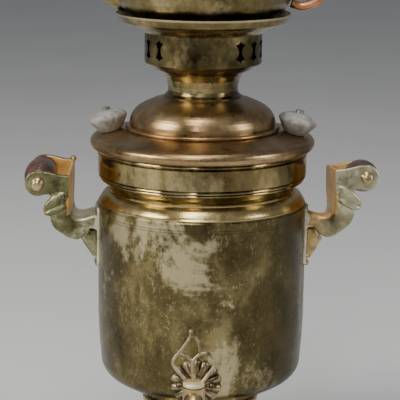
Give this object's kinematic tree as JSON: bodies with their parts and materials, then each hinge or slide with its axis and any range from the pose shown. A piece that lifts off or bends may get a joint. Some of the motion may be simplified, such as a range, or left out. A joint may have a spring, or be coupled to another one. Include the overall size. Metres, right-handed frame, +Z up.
{
  "type": "samovar",
  "caption": "Charcoal samovar in aged sheet brass: jar body, lift-off lid with wooden knobs, pierced crown with teapot, bent tap with openwork key, cast handles with turned grips",
  "frame": {"origin": "centre of the base on the table plane, on the axis of the body", "axes": "+Z up along the axis of the body; the tap faces -Y; the handles stand along X, the teapot spout points to -X"},
  "size_m": [0.373, 0.3014, 0.6174],
  "materials": {
    "body_brass": "aged, mottled",
    "pale_brass": "satin",
    "collar_brass": "polished",
    "lid_brass": "satin, copper-brown",
    "crown_brass": "dull",
    "cast_brass": "dull cast",
    "tap_brass": "satin",
    "pot_brass": "dull",
    "base_brass": "dull",
    "dark_iron": "sooty",
    "grip_wood": "dark, turned",
    "knob_wood": "weathered",
    "bolt_steel": "dull"
  },
  "bodies": {
    "samovar": {"base_feet": "base_brass", "base_plinth": "base_brass", "ash_ring": "base_brass", "air_skirt": "base_brass", "seat_ring": "pale_brass", "body_shell": "body_brass", "shoulder_ring": "pale_brass", "collar": "collar_brass", "fire_tube": "base_brass", "fire_grate": "dark_iron", "handle_left_stem": "cast_brass", "handle_left_fork": "cast_brass", "handle_left_rod": "cast_brass", "handle_left_nut": "cast_brass", "handle_right_stem": "cast_brass", "handle_right_fork": "cast_brass", "handle_right_rod": "cast_brass", "handle_right_nut": "cast_brass", "handle_rivets": "cast_brass", "rosette": "cast_brass", "rosette_rivets": "cast_brass", "tap_body": "tap_brass"},
    "left_grip": {"handle_left_grip": "grip_wood"},
    "right_grip": {"handle_right_grip": "grip_wood"},
    "tap_key": {"tap_key": "tap_brass", "tap_washer": "tap_brass", "tap_nut": "tap_brass"},
    "lid": {"lid_shell": "lid_brass", "lid_knob_left": "knob_wood", "lid_knob_right": "knob_wood", "lid_knob_bolts": "bolt_steel", "lid_knob_nuts": "bolt_steel", "steam_vent": "pale_brass"},
    "vent_cap": {"vent_cap": "pale_brass"},
    "crown": {"crown_neck": "crown_brass", "crown_gallery": "crown_brass", "crown_dish": "crown_brass"},
    "teapot": {"teapot_shell": "pot_brass", "teapot_foot": "pot_brass", "teapot_base": "pot_brass", "teapot_spout": "cast_brass", "teapot_handle": "pot_brass"},
    "teapot_lid": {"teapot_lid": "pot_brass", "teapot_knob": "grip_wood"}
  },
  "joints": [
    {"name": "tap_turn", "type": "hinge", "parent": "samovar", "child": "tap_key", "pos_m": [0, -0.152, 0.131], "axis": [0, 0, 1], "continuous": true},
    {"name": "left_grip_turn", "type": "hinge", "parent": "samovar", "child": "left_grip", "pos_m": [-0.16965, -0.01097, 0.32468], "axis": [-0.0645, 0.9979, 0], "continuous": true},
    {"name": "right_grip_turn", "type": "hinge", "parent": "samovar", "child": "right_grip", "pos_m": [0.16909, 0.01958, 0.32408], "axis": [-0.0639, 0.9882, -0.1392], "continuous": true},
    {"name": "lid_lift", "type": "slide", "parent": "samovar", "child": "lid", "axis": [0, 0, 1], "range_m": [0, 0.08]},
    {"name": "vent_cap_lift", "type": "slide", "parent": "lid", "child": "vent_cap", "axis": [0, 0.2476, 0.9689], "range_m": [0, 0.02]},
    {"name": "crown_lift", "type": "slide", "parent": "lid", "child": "crown", "axis": [0, 0, 1], "range_m": [0, 0.05]},
    {"name": "teapot_lift", "type": "slide", "parent": "crown", "child": "teapot", "axis": [0, 0, 1], "range_m": [0, 0.05]},
    {"name": "teapot_lid_lift", "type": "slide", "parent": "teapot", "child": "teapot_lid", "axis": [0, 0, 1], "range_m": [0, 0.03]}
  ]
}
